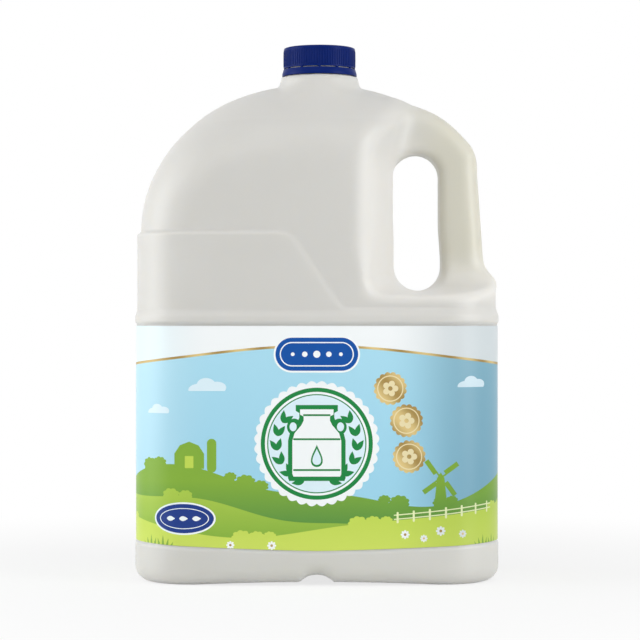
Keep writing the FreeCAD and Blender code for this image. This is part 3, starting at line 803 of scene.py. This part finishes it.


# Gravure ink under a clear polypropylene film: even colour with a soft gloss, over a slight slow
# wave from the glue. Hills and sky fade in height, as printed tints do, and the gold changes from
# light to dark across each seal. Light and shade are painted in too: at the left end the sky and
# the white are painted towards a light blue, a painted highlight, and every ink is painted darker
# towards the right end, a painted shade.
FILM_WAVES_PER_M = 45.0    # 22 mm apart
GOLD_BANDS_PER_M = 26.0
for name, code in INKS.items():
    ink, tree = new_material("printed_film_" + name)
    where = node(tree, "ShaderNodeTexCoord").outputs["Object"]
    split = node(tree, "ShaderNodeSeparateXYZ", Vector=where)
    waves = node(tree, "ShaderNodeTexNoise", Vector=where, Scale=FILM_WAVES_PER_M, Detail=1.0)
    wavy = node(tree, "ShaderNodeBump", Height=waves.outputs["Fac"], Strength=0.2,
                Distance=0.0005)
    surface = node(tree, "ShaderNodeBsdfPrincipled", Roughness=0.36, IOR=1.49,
                   Normal=wavy.outputs[0])
    surface.inputs["Specular IOR Level"].default_value = 0.25
    # The lower tint, the higher tint, and the heights between which one goes to the other.
    tints = {"sky_ink": ("#9FD5EC", "#ABDDF0", 0.055, 0.120),
             "far_hill_ink": ("#4F8B42", "#84AE3B", 0.028, 0.056),
             "middle_hill_ink": ("#84B03F", "#A9C84B", 0.024, 0.048),
             "near_hill_ink": ("#CDDF63", "#C1D855", 0.018, 0.040)}
    if name == "gold_ink":
        low_code, high_code = "#A98C4E", "#E2C887"
        share = node(tree, "ShaderNodeTexWave", {"bands_direction": "DIAGONAL"}, Vector=where,
                     Scale=GOLD_BANDS_PER_M)
    else:
        low_code, high_code, low_z, high_z = tints.get(name, (code, code, 0.0, 0.1))
        share = node(tree, "ShaderNodeMapRange", i0=split.outputs["Z"], i1=low_z, i2=high_z,
                     i3=0.0, i4=1.0)
    tint = node(tree, "ShaderNodeMix", {"data_type": "RGBA"}, i0=share.outputs[0],
                i6=colour(low_code), i7=colour(high_code))
    # Painted light: how far the sky and the white go towards a light blue at the left end.
    painted_light_amount = {"sky_ink": 0.3, "white_ink": 0.8}.get(name, 0.0)
    painted_light_share = node(tree, "ShaderNodeMapRange", {"interpolation_type": "SMOOTHSTEP"},
                i0=split.outputs["X"], i1=-0.100, i2=-0.055, i3=painted_light_amount, i4=0.0)
    painted_light_end = node(tree, "ShaderNodeMix", {"data_type": "RGBA"}, i0=painted_light_share.outputs[0],
                     i6=tint.outputs[2], i7=colour("#DCF1F6"))
    # Painted shade: how much each ink is darkened towards the right end.
    depth = {"sky_ink": 0.55, "white_ink": 0.38}.get(name, 0.2)
    painted_shade_share = node(tree, "ShaderNodeMapRange", {"interpolation_type": "SMOOTHSTEP"},
                i0=split.outputs["X"], i1=0.035, i2=0.090, i3=0.0, i4=depth)
    # The painted shade itself, a multiply by a dark blue-grey.
    painted_shade_end = node(tree, "ShaderNodeMix", {"data_type": "RGBA", "blend_type": "MULTIPLY"},
                    i0=painted_shade_share.outputs[0], i6=painted_light_end.outputs[2], i7=colour("#3F6A78"))
    tree.links.new(painted_shade_end.outputs[2], surface.inputs["Base Color"])
    node(tree, "ShaderNodeOutputMaterial", Surface=surface.outputs[0])
    film.materials.append(ink)
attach(label, "root")
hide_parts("label")

# === Screw cap =================================================================================
# An injection-moulded polyethylene cap in dark blue, with fine grip ribs down its skirt, a
# rounded top edge and the gate mark in the middle of its top.

CAP_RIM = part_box("screw_cap")[0][2] * 1000
CAP_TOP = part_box("screw_cap")[1][2] * 1000
SKIRT = 19.75
CAP_BORE = 18.3
PANEL_EDGE = 14.6
RIB_COUNT = 90
RIB_HEIGHT = 0.2
RIB_WIDTH = 0.62


def turned_mesh(name, profile, sides=180):
    """A closed solid turned about the neck's axis from a profile of (radius, height)."""
    points, polygons = [], []
    ring = len(profile)
    for i in range(sides):
        t = 2 * math.pi * i / sides
        for radius, z in profile:
            points.append(((NECK_X + radius * math.cos(t)) / 1000, radius * math.sin(t) / 1000,
                           z / 1000))
    for i in range(sides):
        for j in range(ring):
            a, b = i * ring, ((i + 1) % sides) * ring
            k = (j + 1) % ring
            polygons.append((a + j, b + j, b + k, a + k))
    mesh = bpy.data.meshes.new(name)
    mesh.from_pydata(points, [], polygons)
    mesh.update()
    return mesh


def rounded_profile(corners, step=6):
    """A profile whose corners (radius, height, rounding) are rounded, from outside inwards."""
    points = []
    count = len(corners)
    for i, (r, z, rounding) in enumerate(corners):
        here = np.array([r, z])
        before = np.array(corners[i - 1][:2]) - here
        after = np.array(corners[(i + 1) % count][:2]) - here
        before = before / np.hypot(*before)
        after = after / np.hypot(*after)
        if rounding == 0:
            points.append((r, z))
            continue
        bend = math.acos(np.clip(np.dot(before, after), -1, 1))
        reach = rounding / math.tan(bend / 2)
        for t in np.linspace(0, 1, step):
            p = here + before * reach * (1 - t) ** 2 + after * reach * t ** 2
            points.append((float(p[0]), float(p[1])))
    return points


cap_profile = rounded_profile([
    (SKIRT, CAP_RIM, 0.25), (SKIRT, CAP_TOP - 0.9, 0), (SKIRT - 0.02, CAP_TOP - 0.8, 0),
    (SKIRT - 0.25, CAP_TOP - 0.25, 0.3), (SKIRT - 1.0, CAP_TOP, 0.4),
    (PANEL_EDGE, CAP_TOP, 0.2), (PANEL_EDGE - 0.4, CAP_TOP - 0.3, 0.2),
    (2.2, CAP_TOP - 0.3, 0.1), (2.0, CAP_TOP - 0.55, 0.1), (0.01, CAP_TOP - 0.55, 0),
    (0.01, CAP_TOP - 1.4, 0), (CAP_BORE, CAP_TOP - 1.4, 0.4), (CAP_BORE, CAP_RIM, 0.1)])
cap_mesh = turned_mesh("screw_cap_shell", cap_profile)
cap_shell = place("screw_cap_shell", cap_mesh)


def ring_of(name, count, radius, size, middle, material):
    """Geometry Nodes: small blocks in a ring about the neck, as one plain mesh."""
    tree = bpy.data.node_groups.new(name, "GeometryNodeTree")
    tree.interface.new_socket("Geometry", in_out="OUTPUT", socket_type="NodeSocketGeometry")
    sockets = {}
    for label_words, kind, value in (("Count", "NodeSocketInt", count),
                                     ("Radius", "NodeSocketFloat", radius),
                                     ("Block", "NodeSocketVector", size),
                                     ("Middle", "NodeSocketVector", middle)):
        socket = tree.interface.new_socket(label_words, in_out="INPUT", socket_type=kind)
        sockets[label_words] = (socket.identifier, value)
    given = node(tree, "NodeGroupInput")
    ring = node(tree, "GeometryNodeMeshCircle", Vertices=given.outputs["Count"],
                Radius=given.outputs["Radius"])
    where = node(tree, "GeometryNodeInputPosition")
    turn = node(tree, "FunctionNodeAlignEulerToVector", {"axis": "X"},
                Vector=where.outputs[0])
    block = node(tree, "GeometryNodeMeshCube", Size=given.outputs["Block"], Vertices_X=2,
                 Vertices_Y=2, Vertices_Z=2)
    rounder = node(tree, "GeometryNodeSubdivisionSurface", Mesh=block.outputs["Mesh"], Level=1,
                   Edge_Crease=0.55)
    copies = node(tree, "GeometryNodeInstanceOnPoints", Points=ring.outputs["Mesh"],
                  Instance=rounder.outputs["Mesh"], Rotation=turn.outputs[0])
    lifted = node(tree, "GeometryNodeTransform", Geometry=copies.outputs[0],
                  Translation=given.outputs["Middle"])
    real = node(tree, "GeometryNodeRealizeInstances", Geometry=lifted.outputs[0])
    inked = node(tree, "GeometryNodeSetMaterial", Geometry=real.outputs[0], Material=material)
    node(tree, "NodeGroupOutput", Geometry=inked.outputs[0])
    holder = place(name + "_holder", bpy.data.meshes.new(name + "_holder"))
    modifier = holder.modifiers.new("ring", "NODES")
    modifier.node_group = tree
    for identifier, value in sockets.values():
        modifier[identifier] = value
    settled = holder.evaluated_get(bpy.context.evaluated_depsgraph_get())
    mesh = bpy.data.meshes.new_from_object(settled)
    mesh.name = name
    bpy.data.objects.remove(holder)
    return place(name, mesh)


# Injection-moulded polyethylene: strong dark blue, smooth from the steel mould, waxy gloss, with
# a slight mottle where the melt flowed.
MOTTLE_PER_M = 160.0    # 6 mm apart
cap_blue, tree = new_material("moulded_blue_polyethylene")
where = node(tree, "ShaderNodeTexCoord").outputs["Object"]
flow = node(tree, "ShaderNodeTexNoise", Vector=where, Scale=MOTTLE_PER_M, Detail=2.0)
tone = node(tree, "ShaderNodeMix", {"data_type": "RGBA"}, i0=flow.outputs["Fac"],
            i6=colour("#041C60"), i7=colour("#06236C"))
fine = node(tree, "ShaderNodeBump", Height=flow.outputs["Fac"], Strength=0.15, Distance=0.0002)
surface = node(tree, "ShaderNodeBsdfPrincipled", Base_Color=tone.outputs[2], Roughness=0.36,
               IOR=1.52, Normal=fine.outputs[0])
surface.inputs["Specular IOR Level"].default_value = 0.07
node(tree, "ShaderNodeOutputMaterial", Surface=surface.outputs[0])
cap_mesh.materials.append(cap_blue)

rib_low, rib_high = CAP_RIM + 0.5, CAP_TOP - 1.5
cap_ribs = ring_of("screw_cap_ribs", RIB_COUNT, (SKIRT + 0.02) / 1000,
                   (2 * RIB_HEIGHT / 1000, RIB_WIDTH / 1000, (rib_high - rib_low) / 1000),
                   (NECK_X / 1000, 0, (rib_low + rib_high) / 2000), cap_blue)
for piece in (cap_shell, cap_ribs):
    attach(piece, "root")
    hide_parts("screw_cap")

# === Tamper band ===============================================================================
# Moulded in one with the cap and cut from it by a slit that leaves thin bridges. It stays on
# the bottle when the cap is first turned, so its foot flares over the collar.

BAND_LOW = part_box("tamper_band")[0][2] * 1000
SLIT = 0.55
BAND_TOP = CAP_RIM - SLIT
BAND_BORE = 18.95
BRIDGE_COUNT = 12
BRIDGE_RADIUS = 19.3
band_profile = rounded_profile([
    (20.65, BAND_LOW, 0.25), (20.62, BAND_LOW + 1.4, 0.8), (20.05, BAND_TOP - 0.5, 0.5),
    (19.9, BAND_TOP, 0.2), (BAND_BORE, BAND_TOP, 0.1), (BAND_BORE, BAND_LOW, 0.2)])
band_mesh = turned_mesh("tamper_band_ring", band_profile)
band_mesh.materials.append(cap_blue)
band = place("tamper_band_ring", band_mesh)
bridges = ring_of("tamper_band_bridges", BRIDGE_COUNT, BRIDGE_RADIUS / 1000,
                  (0.9 / 1000, 1.5 / 1000, (CAP_RIM - BAND_TOP + 0.3) / 1000),
                  (NECK_X / 1000, 0, (CAP_RIM + BAND_TOP) / 2000), cap_blue)
for piece in (band, bridges):
    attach(piece, "root")
    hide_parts("tamper_band")

# === Studio ====================================================================================
# A white sweep that stays white for the camera, two tall soft boxes at the sides, a weak one from
# the front, high on the left, and a weak one from above.

HALF_FLOOR = 3
SHADOW_NEAR = 0.15    # the floor shows the jug's shadow within this
SHADOW_FAR = 0.45     # and is plain white past this
floor_corners = [(-1, -1), (1, -1), (1, 1), (-1, 1)]
floor_mesh = bpy.data.meshes.new("studio_floor")
floor_mesh.from_pydata([(a * HALF_FLOOR, b * HALF_FLOOR, 0) for a, b in floor_corners], [],
                       [(0, 1, 2, 3)])
floor = place("studio_floor", floor_mesh, smooth=False)
white_sweep, tree = new_material("white_sweep")
path = node(tree, "ShaderNodeLightPath")
where = node(tree, "ShaderNodeTexCoord").outputs["Object"]
away = node(tree, "ShaderNodeVectorMath", {"operation": "LENGTH"}, i0=where)
paint = node(tree, "ShaderNodeBsdfDiffuse", Color=colour("#F4F4F4"))
glow = node(tree, "ShaderNodeEmission", Color=(1, 1, 1, 1), Strength=1.0)
share = node(tree, "ShaderNodeMapRange", {"interpolation_type": "SMOOTHSTEP"},
             i0=away.outputs["Value"], i1=SHADOW_NEAR, i2=SHADOW_FAR, i3=0.75, i4=1.0)
straight = node(tree, "ShaderNodeMath", {"operation": "MAXIMUM"}, i0=path.outputs["Is Camera Ray"],
                i1=path.outputs["Is Transmission Ray"])
seen = node(tree, "ShaderNodeMath", {"operation": "MAXIMUM"}, i0=straight.outputs[0],
            i1=path.outputs["Is Glossy Ray"])
lit = node(tree, "ShaderNodeMath", {"operation": "MULTIPLY"}, i0=seen.outputs[0],
           i1=share.outputs[0])
sweep = node(tree, "ShaderNodeMixShader", i0=lit.outputs[0], i1=paint.outputs[0],
             i2=glow.outputs[0])
node(tree, "ShaderNodeOutputMaterial", Surface=sweep.outputs[0])
floor_mesh.materials.append(white_sweep)
floor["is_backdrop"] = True

world = bpy.data.worlds.new("white_room")
bpy.context.scene.world = world
world.use_nodes = True
tree = world.node_tree
tree.nodes.clear()
path = node(tree, "ShaderNodeLightPath")
straight = node(tree, "ShaderNodeMath", {"operation": "MAXIMUM"}, i0=path.outputs["Is Camera Ray"],
                i1=path.outputs["Is Transmission Ray"])
seen = node(tree, "ShaderNodeMath", {"operation": "MAXIMUM"}, i0=straight.outputs[0],
            i1=path.outputs["Is Glossy Ray"])
# The room lights the jug at this share of what the camera sees.
ROOM_LIGHT = 0.42
level = node(tree, "ShaderNodeMapRange", i0=seen.outputs[0], i1=0.0, i2=1.0, i3=ROOM_LIGHT,
             i4=1.0)
room = node(tree, "ShaderNodeBackground", Color=(1, 1, 1, 1), Strength=level.outputs[0])
node(tree, "ShaderNodeOutputWorld", Surface=room.outputs[0])


def soft_box(name, position, target, width, height, watts):
    """A rectangular studio lamp at a position, turned to a target."""
    lamp = bpy.data.lights.new(name, "AREA")
    lamp.shape = "RECTANGLE"
    lamp.size, lamp.size_y, lamp.energy = width, height, watts
    thing = bpy.data.objects.new(name, lamp)
    thing.location = position
    aim = Vector(target) - Vector(position)
    thing.rotation_euler = aim.to_track_quat("-Z", "Y").to_euler()
    bpy.context.scene.collection.objects.link(thing)


soft_box("left_soft_box", (-0.95, -0.15, 0.30), (0, 0, 0.15), 0.7, 1.0, 6.8)
soft_box("right_soft_box", (0.88, -0.52, 0.34), (0, 0, 0.17), 0.5, 0.9, 5.9)
soft_box("front_soft_box", (-0.45, -1.20, 1.00), (0, 0, 0.14), 1.2, 0.9, 2.3)
soft_box("top_soft_box", (0.15, -0.35, 1.30), (0, 0, 0.16), 0.9, 0.9, 2.0)

camera_data = bpy.data.cameras.new("camera")
camera_data.lens = 127.0
camera_data.sensor_width = 36.0
camera = bpy.data.objects.new("camera", camera_data)
# Level with the middle of the picture, a little below half the jug's height.
camera.location = (0.0017, -1.25, 0.1418)
camera.rotation_euler = (math.radians(90), 0, 0)
bpy.context.scene.collection.objects.link(camera)
bpy.context.scene.camera = camera
bpy.context.scene.view_settings.view_transform = "Standard"

low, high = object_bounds()
